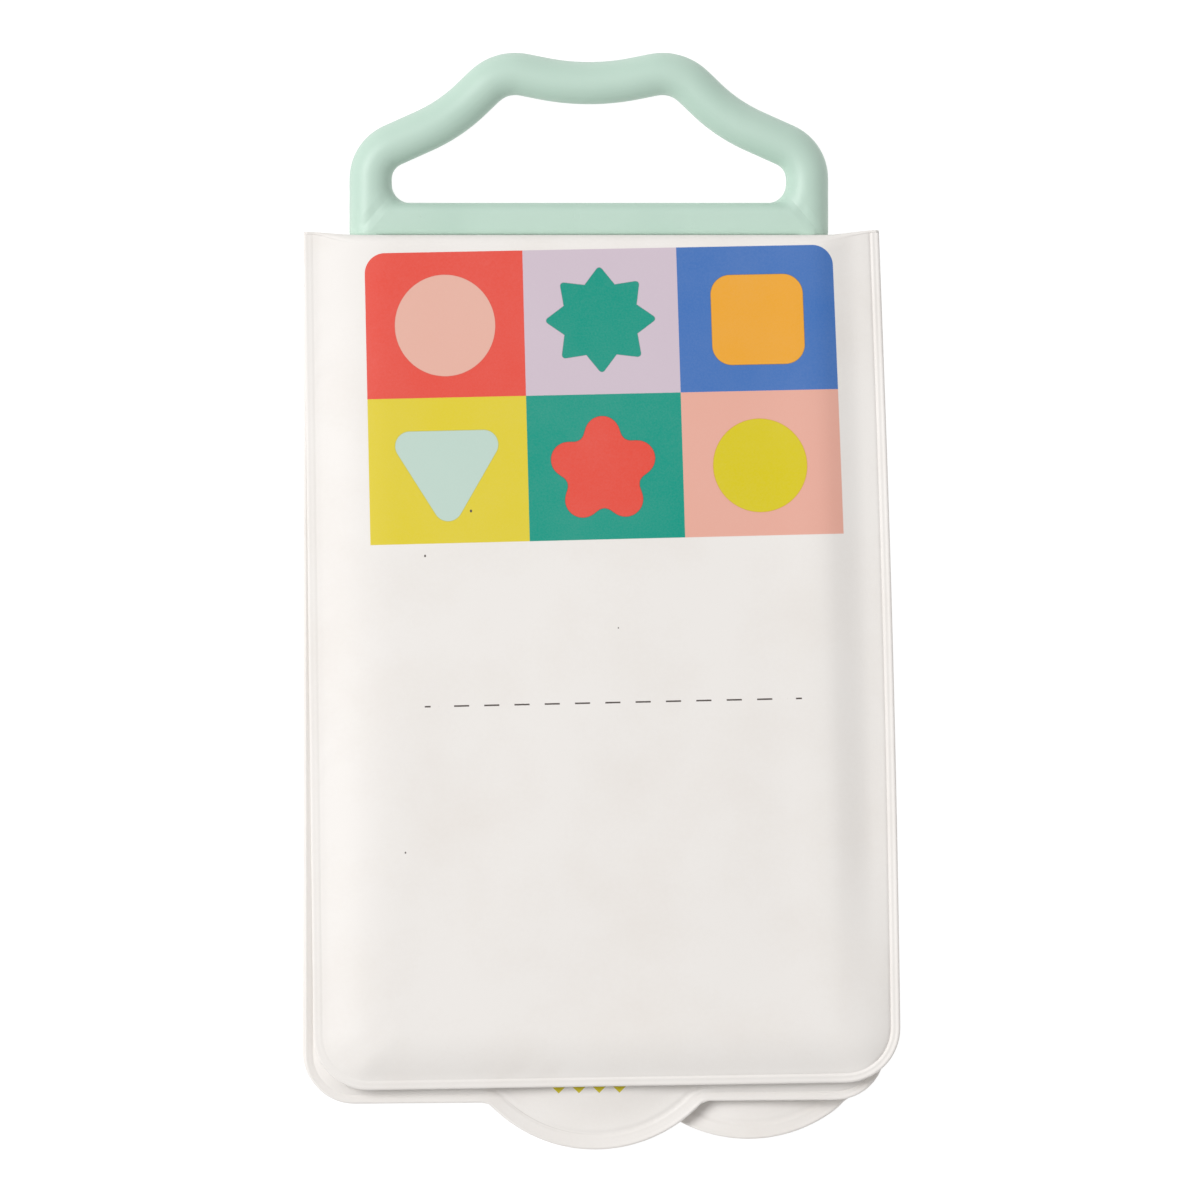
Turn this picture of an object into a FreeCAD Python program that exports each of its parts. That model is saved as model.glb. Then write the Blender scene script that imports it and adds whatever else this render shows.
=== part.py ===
import FreeCAD, Part
import math
import os
import Sketcher
from FreeCAD import Vector

# A soft padded book bound at its head, with a moulded carry handle standing out of the binding.
# It lies on its front cover. X runs across the book, Y from the tabs towards the handle, Z up through
# its thickness. The origin is on the front cover's underside, on the handle's centre line and half
# a cover's length from the spine's outer face. The pieces are drawn with that face at y = 0.

doc = FreeCAD.newDocument("padded_book")

# Driving dimensions, in millimetres
sheet = doc.addObject("Spreadsheet::Sheet", "Sizes")
dimensions = {
    # Width of all four pads at the spine, and how far their middle lies right of the handle's
    "spineWidth": 156.6,
    "spineOffset": 0.7,
    # Covers: spine face to free edge, width there, foam and skins, corners, welded rim
    "coverLength": 231.0,
    "coverFreeWidth": 159.8,
    "coverThickness": 6.0,
    "coverCorner": 15.0,
    "coverRim": 2.6,
    # The back cover sits askew: its free edge has slid this far to the right
    "coverLean": 4.4,
    # Leaves
    "leafLength": 236.0,
    "leafFreeWidth": 158.4,
    "leafThickness": 6.7,
    "leafCorner": 13.0,
    "leafRim": 2.3,
    "upperLeafLean": 1.1,
    "lowerLeafLean": 0.4,
    # Index tabs: round, standing past the free edge, each with its own thin pad
    "tabRadius": 39.4,
    "upperTabReach": 13.0,
    "lowerTabReach": 10.3,
    "tabRim": 4.0,
    "tabThickness": 3.0,
    "upperTabShift": 0.2,
    "lowerTabShift": 42.2,
    # Every welded rim, and the strip of a pad's edge that stays upright between its roundings
    "rimThickness": 1.2,
    "edgeFlat": 0.2,
    # Running gap between a cover and the leaves
    "coverGap": 0.3,
    # Spine skin, and the bound root of the leaves behind it
    "spineSkin": 1.2,
    "bindingDepth": 18.0,
    # Handle: round rod, drawn along its centre line
    "rodDiameter": 11.6,
    "legSpacing": 119.0,
    "elbowHeight": 22.1,
    "elbowRadius": 10.0,
    "waistSpacing": 75.6,
    "waistHeight": 31.8,
    "waistRadius": 45.0,
    "crestSpacing": 47.8,
    "crestHeight": 45.2,
    "crestRadius": 12.0,
    "dipHeight": 40.4,
    "dipRadius": 64.0,
    # Foot bar of the handle, flat on top and on the spine, and the elbows at the grip's lower corners,
    # which lie this far inside the rod's own skin
    "barHeight": 9.0,
    "barRounding": 2.8,
    "gripCorner": 5.0,
    "cornerInset": 0.1,
    # Tongue that holds the handle in the binding, and the gap around it
    "tongueWidth": 100.0,
    "tongueDepth": 12.0,
    "tongueThickness": 3.0,
    "tongueGap": 0.15,
}
for row, (alias, value) in enumerate(dimensions.items(), start=1):
    sheet.set(f"A{row}", alias)
    sheet.set(f"B{row}", str(value))
    sheet.setAlias(f"B{row}", alias)
doc.recompute()

# Levels through the book's thickness, as expressions on the sheet
FRONT_BASE = "0"
LOWER_BASE = "Sizes.coverThickness + Sizes.coverGap"
UPPER_BASE = f"{LOWER_BASE} + Sizes.leafThickness"
LEAVES_THICKNESS = "2 * Sizes.leafThickness"
BACK_BASE = f"{LOWER_BASE} + {LEAVES_THICKNESS} + Sizes.coverGap"
MID_LEVEL = UPPER_BASE


def number(expression):
    """The present value of an expression on the sheet."""
    return float(sheet.evalExpression(expression))


def origin_plane(body, role):
    return next(feature for feature in body.Origin.OriginFeatures if feature.Role == role)


def new_sketch(body, name, role, level=None):
    """An empty sketch on one of the body's own planes, raised by an expression if one is given."""
    sketch = body.newObject("Sketcher::SketchObject", name)
    sketch.AttachmentSupport = [(origin_plane(body, role), "")]
    sketch.MapMode = "FlatFace"
    if level:
        sketch.setExpression("AttachmentOffset.Base.z", level)
    return sketch


def bind(sketch, index, name, expression):
    sketch.renameConstraint(index, name)
    sketch.setExpression(f"Constraints.{name}", expression)


def place_point(sketch, geometry, end, name, point):
    """Fixes one point at a pair of expressions. A zero keeps it on that axis."""
    for axis, kind, expression in ((-2, "DistanceX", point[0]), (-1, "DistanceY", point[1])):
        if expression == "0":
            sketch.addConstraint(Sketcher.Constraint("PointOnObject", geometry, end, axis))
        else:
            index = sketch.addConstraint(
                Sketcher.Constraint(kind, -1, 1, geometry, end, number(expression)))
            bind(sketch, index, f"{name}{kind[-1]}", expression)


def rounded_chain(sketch, corners, closed):
    """Straight runs through the corners, each corner with a radius getting a tangent arc.

    A corner is (x, y, radius) in expressions, with radius None where it stays sharp.
    """
    points = [Vector(number(x), number(y), 0) for x, y, radius in corners]
    count = len(points)
    arcs, entries, exits = {}, list(points), list(points)
    for i, (x, y, radius) in enumerate(corners):
        if radius is None:
            continue
        back = (points[i - 1] - points[i]).normalize()
        ahead = (points[(i + 1) % count] - points[i]).normalize()
        half = back.getAngle(ahead) / 2
        reach = number(radius) / math.tan(half)
        entries[i], exits[i] = points[i] + back * reach, points[i] + ahead * reach
        middle = points[i] + (back + ahead).normalize() * (number(radius) / math.sin(half))
        crown = middle + (points[i] - middle).normalize() * number(radius)
        arcs[i] = sketch.addGeometry(Part.Arc(entries[i], crown, exits[i]))
    runs = {}
    for i in range(count if closed else count - 1):
        runs[i] = sketch.addGeometry(Part.LineSegment(exits[i], entries[(i + 1) % count]))
    for i, (x, y, radius) in enumerate(corners):
        before, after = runs.get((i - 1) % count), runs.get(i)
        if radius is None:
            if before is not None and after is not None:
                sketch.addConstraint(Sketcher.Constraint("Coincident", before, 2, after, 1))
            run, end = (after, 1) if after is not None else (before, 2)
            place_point(sketch, run, end, f"corner{i}", (x, y))
            continue
        arc_entry, arc_exit = arc_ends(sketch, arcs[i], entries[i])
        sketch.addConstraint(Sketcher.Constraint("Tangent", before, 2, arcs[i], arc_entry))
        sketch.addConstraint(Sketcher.Constraint("Tangent", arcs[i], arc_exit, after, 1))
        index = sketch.addConstraint(Sketcher.Constraint("Radius", arcs[i], number(radius)))
        bind(sketch, index, f"corner{i}R", radius)
        sharp = sketch.addGeometry(Part.Point(points[i]), True)
        sketch.addConstraint(Sketcher.Constraint("PointOnObject", sharp, 1, before))
        sketch.addConstraint(Sketcher.Constraint("PointOnObject", sharp, 1, after))
        place_point(sketch, sharp, 1, f"corner{i}", (x, y))


def arc_ends(sketch, arc, entry):
    """Which end of an arc is the one at the entry point, then the other."""
    return (1, 2) if (sketch.getPoint(arc, 1) - entry).Length < 1e-6 else (2, 1)


def draw_circle(sketch, centre, radius):
    middle = Vector(number(centre[0]), number(centre[1]), 0)
    ring = sketch.addGeometry(Part.Circle(middle, Vector(0, 0, 1), number(radius)))
    place_point(sketch, ring, 3, "centre", centre)
    index = sketch.addConstraint(Sketcher.Constraint("Radius", ring, number(radius)))
    bind(sketch, index, "round", radius)


def pad_sketch(body, sketch, name, thickness):
    pad = body.newObject("PartDesign::Pad", name)
    pad.Profile = sketch
    pad.setExpression("Length", thickness)
    return pad


def panel_corners(length, free_width, lean, corner, inset):
    """A pad's outline from above: square at the spine, rounded and askew at its free edge."""
    middle = f"(Sizes.spineOffset + {lean})"
    rise = f"({lean} * {free_width} / (2 * {length}))"
    half_spine, half_free = f"(Sizes.spineWidth / 2 - {inset})", f"({free_width} / 2 - {inset})"
    radius = f"{corner} - {inset}"
    return [
        (f"Sizes.spineOffset - {half_spine}", "0", None),
        (f"Sizes.spineOffset + {half_spine}", "0", None),
        (f"{middle} + {half_free}", f"-({length} - {inset} - {rise})", radius),
        (f"{middle} - {half_free}", f"-({length} - {inset} + {rise})", radius),
    ]


def circle_pad(body, name, centre, radius, level, thickness):
    sketch = new_sketch(body, f"{name}Sketch", "XY_Plane", level)
    draw_circle(sketch, centre, radius)
    pad_sketch(body, sketch, name, thickness)


def padded_panel(name, base, length, free_width, lean, corner, thickness, rim, tab=None):
    """One foam pad sealed between two skins: a cushion with rolled edges in a flat welded rim.

    The rim runs round the three free sides at half the cushion's thickness. A tab is a pair, how far
    it lies right of the panel's middle line and how far it reaches past the free edge.
    """
    body = doc.addObject("PartDesign::Body", name)
    cushion = new_sketch(body, "CushionSketch", "XY_Plane", base)
    rounded_chain(cushion, panel_corners(length, free_width, lean, corner, rim), True)
    pad_sketch(body, cushion, "Cushion", thickness)
    doc.recompute()
    rolled = body.newObject("PartDesign::Fillet", "RolledEdge")
    low, high = number(base), number(f"{base} + {thickness}")
    rolled.Base = (rolled.BaseFeature, edges_at(body, low, high))
    rolled.setExpression("Radius", f"({thickness} - Sizes.edgeFlat) / 2")
    rim_level = f"{base} + ({thickness} - Sizes.rimThickness) / 2"
    rim_sketch = new_sketch(body, "RimSketch", "XY_Plane", rim_level)
    rounded_chain(rim_sketch, panel_corners(length, free_width, lean, corner, "0"), True)
    pad_sketch(body, rim_sketch, "Rim", "Sizes.rimThickness")
    if tab:
        shift, reach = tab
        centre = (f"Sizes.spineOffset + {lean} + {shift}", f"Sizes.tabRadius - ({length} + {reach})")
        circle_pad(body, "TabRim", centre, "Sizes.tabRadius", rim_level, "Sizes.rimThickness")
        circle_pad(body, "TabCushion", centre, "Sizes.tabRadius - Sizes.tabRim",
                   f"{base} + ({thickness} - Sizes.tabThickness) / 2", "Sizes.tabThickness")
    doc.recompute()
    return body


def edges_at(body, *levels):
    """Names of the edges of the body's present shape that lie flat at one of these levels."""
    found = []
    for i, edge in enumerate(body.Shape.Edges, start=1):
        box = edge.BoundBox
        if box.ZLength < 1e-6 and any(abs(box.ZMin - level) < 1e-6 for level in levels):
            found.append(f"Edge{i}")
    return found


def make_cover(name, base, lean):
    return padded_panel(name, base, "Sizes.coverLength", "Sizes.coverFreeWidth", lean,
                        "Sizes.coverCorner", "Sizes.coverThickness", "Sizes.coverRim")


def make_leaf(name, base, lean, tab):
    return padded_panel(name, base, "Sizes.leafLength", "Sizes.leafFreeWidth", lean,
                        "Sizes.leafCorner", "Sizes.leafThickness", "Sizes.leafRim", tab)


def block(name, expressions):
    """A box from its corner and side lengths, all given as expressions."""
    box = doc.addObject("Part::Box", name)
    for field, expression in expressions.items():
        box.setExpression(field, expression)
    return box


def tongue_slot(name, depth):
    """The room for the handle's tongue, from the spine face down to that depth."""
    return block(name, {
        "Length": "Sizes.tongueWidth + 2 * Sizes.tongueGap",
        "Width": depth,
        "Height": "Sizes.tongueThickness + 2 * Sizes.tongueGap",
        "Placement.Base.x": "-(Sizes.tongueWidth / 2 + Sizes.tongueGap)",
        "Placement.Base.y": f"-({depth})",
        "Placement.Base.z": f"{MID_LEVEL} - Sizes.tongueThickness / 2 - Sizes.tongueGap",
    })


def cut(label, base, tool):
    result = doc.addObject("Part::Cut", label)
    result.Base, result.Tool = base, tool
    return result


def make_pages():
    """Both leaves and the root that binds them, with the slot for the handle's tongue."""
    lower = make_leaf("LowerLeaf", LOWER_BASE, "Sizes.lowerLeafLean",
                      ("Sizes.lowerTabShift", "Sizes.lowerTabReach"))
    upper = make_leaf("UpperLeaf", UPPER_BASE, "Sizes.upperLeafLean",
                      ("Sizes.upperTabShift", "Sizes.upperTabReach"))
    root = block("BoundRoot", {
        "Length": "Sizes.spineWidth - 2 * Sizes.leafRim",
        "Width": "Sizes.bindingDepth",
        "Height": LEAVES_THICKNESS,
        "Placement.Base.x": "Sizes.spineOffset - Sizes.spineWidth / 2 + Sizes.leafRim",
        "Placement.Base.y": "-Sizes.bindingDepth",
        "Placement.Base.z": LOWER_BASE,
    })
    bound = doc.addObject("Part::MultiFuse", "BoundLeaves")
    bound.Shapes = [lower, upper, root]
    behind_spine = block("SpineRoom", {
        "Length": "2 * Sizes.spineWidth",
        "Width": "Sizes.spineSkin",
        "Height": LEAVES_THICKNESS,
        "Placement.Base.x": "-Sizes.spineWidth",
        "Placement.Base.y": "-Sizes.spineSkin",
        "Placement.Base.z": LOWER_BASE,
    })
    trimmed = cut("TrimmedLeaves", bound, behind_spine)
    slot = tongue_slot("RootSlot", "Sizes.tongueDepth + Sizes.tongueGap")
    return cut("pages", trimmed, slot)


def make_spine():
    """The strip of skin across the book's back, between the two covers."""
    strip = block("SpineStrip", {
        "Length": "Sizes.spineWidth",
        "Width": "Sizes.spineSkin",
        "Height": LEAVES_THICKNESS,
        "Placement.Base.x": "Sizes.spineOffset - Sizes.spineWidth / 2",
        "Placement.Base.y": "-Sizes.spineSkin",
        "Placement.Base.z": LOWER_BASE,
    })
    return cut("spine", strip, tongue_slot("SpineSlot", "Sizes.spineSkin"))


def make_handle():
    """One moulding: a wavy round rod, its foot bar, and the tongue held in the binding."""
    corner = make_grip_corner()
    other = doc.addObject("Part::Mirroring", "OtherGripCorner")
    other.Source, other.Base, other.Normal = corner, Vector(0, 0, 0), Vector(1, 0, 0)
    handle = doc.addObject("Part::MultiFuse", "handle")
    handle.Shapes = [make_arch(), corner, other, make_foot()]
    return handle


def make_arch():
    """The rod from one foot over both crests to the other."""
    body = doc.addObject("PartDesign::Body", "Arch")
    path = new_sketch(body, "ArchPath", "XY_Plane", MID_LEVEL)
    half = [
        ("Sizes.legSpacing / 2", "0", None),
        ("Sizes.legSpacing / 2", "Sizes.elbowHeight", "Sizes.elbowRadius"),
        ("Sizes.waistSpacing / 2", "Sizes.waistHeight", "Sizes.waistRadius"),
        ("Sizes.crestSpacing / 2", "Sizes.crestHeight", "Sizes.crestRadius"),
    ]
    left = [(f"-({x})", y, radius) for x, y, radius in half]
    dip = [("0", "Sizes.dipHeight", "Sizes.dipRadius")]
    rounded_chain(path, left + dip + half[::-1], False)
    section = new_sketch(body, "ArchSection", "XZ_Plane")
    draw_circle(section, ("-(Sizes.legSpacing / 2)", MID_LEVEL), "Sizes.rodDiameter / 2")
    doc.recompute()
    arch = body.newObject("PartDesign::AdditivePipe", "ArchRod")
    arch.Profile = section
    arch.Spine = (path, [])
    doc.recompute()
    return body


def make_grip_corner():
    """A round elbow that leads the rod from one leg into the foot bar, flat on the spine."""
    body = doc.addObject("PartDesign::Body", "GripCorner")
    turn = "-(Sizes.legSpacing / 2 - Sizes.rodDiameter / 2 - Sizes.gripCorner)"
    section = new_sketch(body, "CornerSection", "XZ_Plane", "-(Sizes.barHeight + Sizes.gripCorner)")
    draw_circle(section, ("-(Sizes.legSpacing / 2)", MID_LEVEL),
                "Sizes.rodDiameter / 2 - Sizes.cornerInset")
    ends = Vector(number(turn), 0, 0), Vector(number(turn), number(MID_LEVEL), 0)
    axis = section.addGeometry(Part.LineSegment(*ends), True)
    place_point(section, axis, 1, "turnFoot", (turn, "0"))
    place_point(section, axis, 2, "turnHead", (turn, MID_LEVEL))
    elbow = body.newObject("PartDesign::Revolution", "Elbow")
    elbow.Profile = section
    elbow.ReferenceAxis = (section, ["Axis0"])
    elbow.Angle = 90
    doc.recompute()
    below = new_sketch(body, "BelowSpineFace", "XZ_Plane")
    side, low = "Sizes.legSpacing", f"{MID_LEVEL} - Sizes.rodDiameter"
    high = f"{MID_LEVEL} + Sizes.rodDiameter"
    rounded_chain(below, [(f"-{side}", low, None), (side, low, None), (side, high, None),
                          (f"-{side}", high, None)], True)
    foot = body.newObject("PartDesign::Pocket", "FlatFoot")
    foot.Profile = below
    foot.Reversed = True
    foot.setExpression("Length", "Sizes.rodDiameter")
    doc.recompute()
    return body


def make_foot():
    """The bar between the legs, a rounded square in section, and the tongue below it."""
    body = doc.addObject("PartDesign::Body", "Foot")
    section = new_sketch(body, "BarSection", "YZ_Plane")
    low, high = (f"{MID_LEVEL} {sign} Sizes.rodDiameter / 2" for sign in "-+")
    rounded_chain(section, [
        ("0", low, "Sizes.barRounding"),
        ("Sizes.barHeight", low, "Sizes.barRounding"),
        ("Sizes.barHeight", high, "Sizes.barRounding"),
        ("0", high, "Sizes.barRounding"),
    ], True)
    bar = body.newObject("PartDesign::Pad", "FootBar")
    bar.Profile = section
    bar.Midplane = True
    bar.setExpression("Length", "Sizes.legSpacing")
    doc.recompute()
    tongue = new_sketch(body, "TongueSketch", "XZ_Plane")
    low, high = f"{MID_LEVEL} - Sizes.tongueThickness / 2", f"{MID_LEVEL} + Sizes.tongueThickness / 2"
    rounded_chain(tongue, [
        ("-(Sizes.tongueWidth / 2)", low, None),
        ("Sizes.tongueWidth / 2", low, None),
        ("Sizes.tongueWidth / 2", high, None),
        ("-(Sizes.tongueWidth / 2)", high, None),
    ], True)
    pad_sketch(body, tongue, "Tongue", "Sizes.tongueDepth")
    doc.recompute()
    return body


parts = [
    make_cover("front_cover", FRONT_BASE, "0"),
    make_pages(),
    make_spine(),
    make_handle(),
    make_cover("back_cover", BACK_BASE, "Sizes.coverLean"),
]
for part in parts:
    part.setExpression("Placement.Base.y", "Sizes.coverLength / 2")
doc.recompute()

for item in doc.Objects:
    if "Invalid" in item.State or "Error" in item.State:
        raise RuntimeError(f"{item.Label} failed: {item.State}")
for part in parts:
    if part.Shape.isNull() or not part.Shape.isValid() or len(part.Shape.Solids) != 1:
        raise RuntimeError(f"{part.Label} is not one sound solid")

os.makedirs("parts", exist_ok=True)
for part in parts:
    part.Shape.exportStep(f"parts/{part.Label}.step")
    box = part.Shape.BoundBox
    print(f"{part.Label}: {part.Shape.Volume / 1000:.1f} cm3,",
          f"x {box.XMin:.1f} to {box.XMax:.1f}, y {box.YMin:.1f} to {box.YMax:.1f},",
          f"z {box.ZMin:.1f} to {box.ZMax:.1f}")
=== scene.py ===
import math

import bmesh
import bpy
import numpy as np
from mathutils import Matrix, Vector


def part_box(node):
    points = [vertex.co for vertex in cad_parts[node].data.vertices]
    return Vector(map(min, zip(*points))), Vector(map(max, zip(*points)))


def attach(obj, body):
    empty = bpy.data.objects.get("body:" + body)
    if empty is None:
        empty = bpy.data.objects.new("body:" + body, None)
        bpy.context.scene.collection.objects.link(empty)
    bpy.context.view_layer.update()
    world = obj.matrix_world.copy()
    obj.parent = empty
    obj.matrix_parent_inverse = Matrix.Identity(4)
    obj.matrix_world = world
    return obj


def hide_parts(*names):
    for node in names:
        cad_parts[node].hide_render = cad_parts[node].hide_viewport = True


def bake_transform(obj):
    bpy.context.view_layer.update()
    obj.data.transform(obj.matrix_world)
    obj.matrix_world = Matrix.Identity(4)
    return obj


# A soft padded book seen from its back cover, with a moulded carry handle at its spine.
# Everything is in metres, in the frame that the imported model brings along.
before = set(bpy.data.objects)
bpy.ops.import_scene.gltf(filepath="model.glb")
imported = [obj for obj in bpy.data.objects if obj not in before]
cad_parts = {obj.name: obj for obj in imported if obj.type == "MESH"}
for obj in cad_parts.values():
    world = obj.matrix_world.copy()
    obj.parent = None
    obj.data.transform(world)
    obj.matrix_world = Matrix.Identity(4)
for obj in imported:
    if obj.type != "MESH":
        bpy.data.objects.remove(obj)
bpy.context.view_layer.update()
mm = 0.001
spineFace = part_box("spine")[1].y


def middleOf(node):
    # the level of a solid's middle
    low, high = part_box(node)
    return (low.z + high.z) / 2


print("frame loaded")

# What all four pads share at the spine, and the rules of a welded edge
book = {
    "spineWidth": 156.6 * mm,
    "spineOffset": 0.7 * mm,
    "rimHalf": 0.55 * mm,         # half the thickness of a welded rim
    "cutRound": 0.45 * mm,        # rounding of the cut edge
    "beadHeight": 0.10 * mm,      # two raised lines that the welding bar leaves
    "beadWidth": 0.36 * mm,
    "beadInset": 0.62 * mm,       # how far they lie from the cut edge and from the weld
    "weldWidth": 0.30 * mm,
    "columnStep": 1.9 * mm,
    "rowStep": 1.9 * mm,
    "foldRows": 14,
    "freeBand": 8 * mm,           # where the sides' roll turns into the free edge's
    "leftWeld": 0.3,              # how sharply the left weld is pressed, beside the right one
    "swayFree": 50 * mm,          # how far a panel's slow waves reach in from its free edge and its sides
    "swaySide": 30 * mm,
    "rightBand": 20 * mm,         # where the right side's own curl sets in
    "curlFade": 60 * mm,          # where the curl dies out towards the spine
}


# Camera and light

studio = {
    "photoSize": 1200,            # pixels along each side of the photograph
    "pixel": 0.272 * mm,          # what one of them covers at the level of the back cover
    "handleColumn": 588.8,        # where the handle's centre line and the spine face lie in it
    "spineRow": 235.0,
    "cameraHeight": 5.0,
    "sensor": 36.0,
    "floorSize": 24.0,
    "floorDrop": 0.02 * mm,
    "floorColor": (112, 111, 110),
    "fibreTone": (0.2, 0.2, 0.2, 1),
    "floorGlow": 0.93,            # the floor glows like a light table, so the part leaves hardly a shadow
    "skyLow": 0.32,               # brightness of the surroundings at the horizon and overhead
    "skyHigh": 0.50,
    "skySpan": (0.05, 0.45),      # the heights between which one turns into the other
    "keyPlace": (-2.0, 0.75, 2.9),      # the key light, to the upper left
    "keySize": 1.7,
    "keyPower": 90,
}


def linear(color):
    # screen colour, 0 to 255, to the linear colour that a shader takes
    share = np.array(color, float) / 255
    return (*np.where(share <= 0.04045, share / 12.92, ((share + 0.055) / 1.055) ** 2.4), 1.0)


def makeCamera():
    middle = studio["photoSize"] / 2
    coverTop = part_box("back_cover")[1].z
    lens = bpy.data.cameras.new("camera")
    lens.sensor_width = studio["sensor"]
    lens.lens = studio["sensor"] * studio["cameraHeight"] / (studio["photoSize"] * studio["pixel"])
    lens.clip_start, lens.clip_end = 0.05, 100
    camera = bpy.data.objects.new("camera", lens)
    camera.location = (
        (middle - studio["handleColumn"]) * studio["pixel"],
        spineFace - (middle - studio["spineRow"]) * studio["pixel"],
        coverTop + studio["cameraHeight"],
    )
    bpy.context.scene.collection.objects.link(camera)
    bpy.context.scene.camera = camera


def makeSoftbox():
    # a square lamp that looks at the origin
    lamp = bpy.data.lights.new("key", "AREA")
    lamp.shape, lamp.size, lamp.energy = "SQUARE", studio["keySize"], studio["keyPower"]
    box = bpy.data.objects.new("key", lamp)
    box.location = studio["keyPlace"]
    box.rotation_euler = (-Vector(studio["keyPlace"])).to_track_quat("-Z", "Y").to_euler()
    box.visible_camera = False
    bpy.context.scene.collection.objects.link(box)


makeCamera()
makeSoftbox()
bpy.context.scene.view_settings.view_transform = "Standard"
print("camera and lights placed")


# Shader maths: an expression on values adds the Math nodes that work it out

class Value:
    # one output socket of a paint's nodes
    def __init__(self, paint, socket):
        self.paint, self.socket = paint, socket

    def work(self, operation, *terms):
        return self.paint.node("Math", {"operation": operation}, dict(enumerate(terms)))

    def __add__(self, other): return self.work("ADD", self, other)
    __radd__ = __add__
    def __mul__(self, other): return self.work("MULTIPLY", self, other)
    __rmul__ = __mul__
    def __sub__(self, other): return self.work("SUBTRACT", self, other)
    def __rsub__(self, other): return self.work("SUBTRACT", other, self)
    def __truediv__(self, other): return self.work("DIVIDE", self, other)
    def __pow__(self, other): return self.work("POWER", self, other)
    def __neg__(self): return self * -1.0
    def __abs__(self): return self.work("ABSOLUTE", self)
    def __mod__(self, other): return self.work("FLOORED_MODULO", self, other)


class Paint:
    # one material, and the single way in which its nodes are made
    def __init__(self, name):
        self.material = bpy.data.materials.new(name)
        self.material.use_nodes = True
        self.tree = self.material.node_tree
        self.tree.nodes.clear()

    def node(self, kind, settings=None, inputs=None, output=0):
        made = self.tree.nodes.new("ShaderNode" + kind)
        for key, value in (settings or {}).items():
            setattr(made, key, value)
        for key, value in (inputs or {}).items():
            if isinstance(value, Value):
                self.tree.links.new(value.socket, made.inputs[key])
            else:
                made.inputs[key].default_value = value
        return Value(self, made.outputs[output]) if len(made.outputs) else None

    def mix(self, share, first, second):
        return self.node("Mix", {"data_type": "RGBA"}, {0: share, 6: first, 7: second}, 2)

    def larger(self, first, second):
        return self.node("Math", {"operation": "MAXIMUM"}, {0: first, 1: second})

    def smaller(self, first, second):
        return self.node("Math", {"operation": "MINIMUM"}, {0: first, 1: second})

    def softMax(self, first, second, round):
        return self.node("Math", {"operation": "SMOOTH_MAX"}, {0: first, 1: second, 2: round})

    def clampedShare(self, value):
        return self.node("Math", {"operation": "ADD", "use_clamp": True}, {0: value, 1: 0.0})

    def inside(self, distance, blur):
        # 1 where a signed distance is negative, 0 where it is positive, with a thin soft border
        return self.clampedShare(0.5 - distance / blur)

    def axis(self, vector, letter):
        return self.node("SeparateXYZ", {}, {0: vector}, letter)

    def noise(self, vector, scale, detail=2.0, roughness=0.5):
        return self.node("TexNoise", {}, {"Vector": vector, "Scale": scale, "Detail": detail,
                                          "Roughness": roughness})

    def finish(self, color, roughness, normal=None, **constants):
        surface = {"Base Color": color, "Roughness": roughness}
        surface.update({name.replace("_", " "): value for name, value in constants.items()})
        if normal:
            surface["Normal"] = normal
        shader = self.node("BsdfPrincipled", {}, surface)
        self.node("OutputMaterial", {}, {"Surface": shader})
        return self.material


# Surfaces on grids

def ease(share):
    share = np.clip(share, 0, 1)
    return share * share * (3 - 2 * share)


def cushionRoll(share, power):
    # leaves the weld at a slant and lies down at 1, like the rounded edge of a cushion
    return 1 - (1 - np.clip(share, 0, 1)) ** power


def gridMesh(name, points, uv=None, wrap=False):
    # a mesh on a grid of rows and columns; wrap joins the last column to the first
    rows, columns = points.shape[:2]
    index = np.arange(rows * columns).reshape(rows, columns)
    if wrap:
        index = np.hstack([index, index[:, :1]])
    quads = np.stack([index[:-1, :-1], index[:-1, 1:], index[1:, 1:], index[1:, :-1]], -1).reshape(-1, 4)
    mesh = bpy.data.meshes.new(name)
    mesh.vertices.add(rows * columns)
    mesh.vertices.foreach_set("co", points.astype(np.float32).ravel())
    mesh.loops.add(quads.size)
    mesh.loops.foreach_set("vertex_index", quads.astype(np.int32).ravel())
    mesh.polygons.add(len(quads))
    mesh.polygons.foreach_set("loop_start", np.arange(0, quads.size, 4, dtype=np.int32))
    mesh.update(calc_edges=True)
    if uv is not None:
        layer = mesh.uv_layers.new(name="Panel")
        layer.data.foreach_set("uv", uv.reshape(-1, 2)[quads.ravel()].astype(np.float32).ravel())
    return mesh


def closeSeams(mesh):
    # joins the points that meet at seams and poles, and turns all faces outwards
    work = bmesh.new()
    work.from_mesh(mesh)
    bmesh.ops.remove_doubles(work, verts=work.verts, dist=1e-7)
    bmesh.ops.dissolve_degenerate(work, edges=work.edges, dist=1e-8)
    bmesh.ops.recalc_face_normals(work, faces=work.faces)
    work.to_mesh(mesh)
    work.free()
    mesh.polygons.foreach_set("use_smooth", [True] * len(mesh.polygons))
    mesh.update()


def addPiece(name, mesh, material):
    piece = bpy.data.objects.new(name, mesh)
    bpy.context.scene.collection.objects.link(piece)
    mesh.materials.clear()
    mesh.materials.append(material)
    return piece


def bakeModifiers(piece):
    # leaves the piece with the mesh that its modifiers give
    bpy.context.view_layer.update()
    seen = piece.evaluated_get(bpy.context.evaluated_depsgraph_get())
    made = bpy.data.meshes.new_from_object(seen)
    piece.modifiers.clear()
    piece.data = made


# Padded panels: two skins on a foam slab, welded together along the two sides and the free edge.
# A point of the flat panel has an across distance from its left side and a depth distance from its
# free edge. Its ring is the smaller distance to a welded side.

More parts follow.
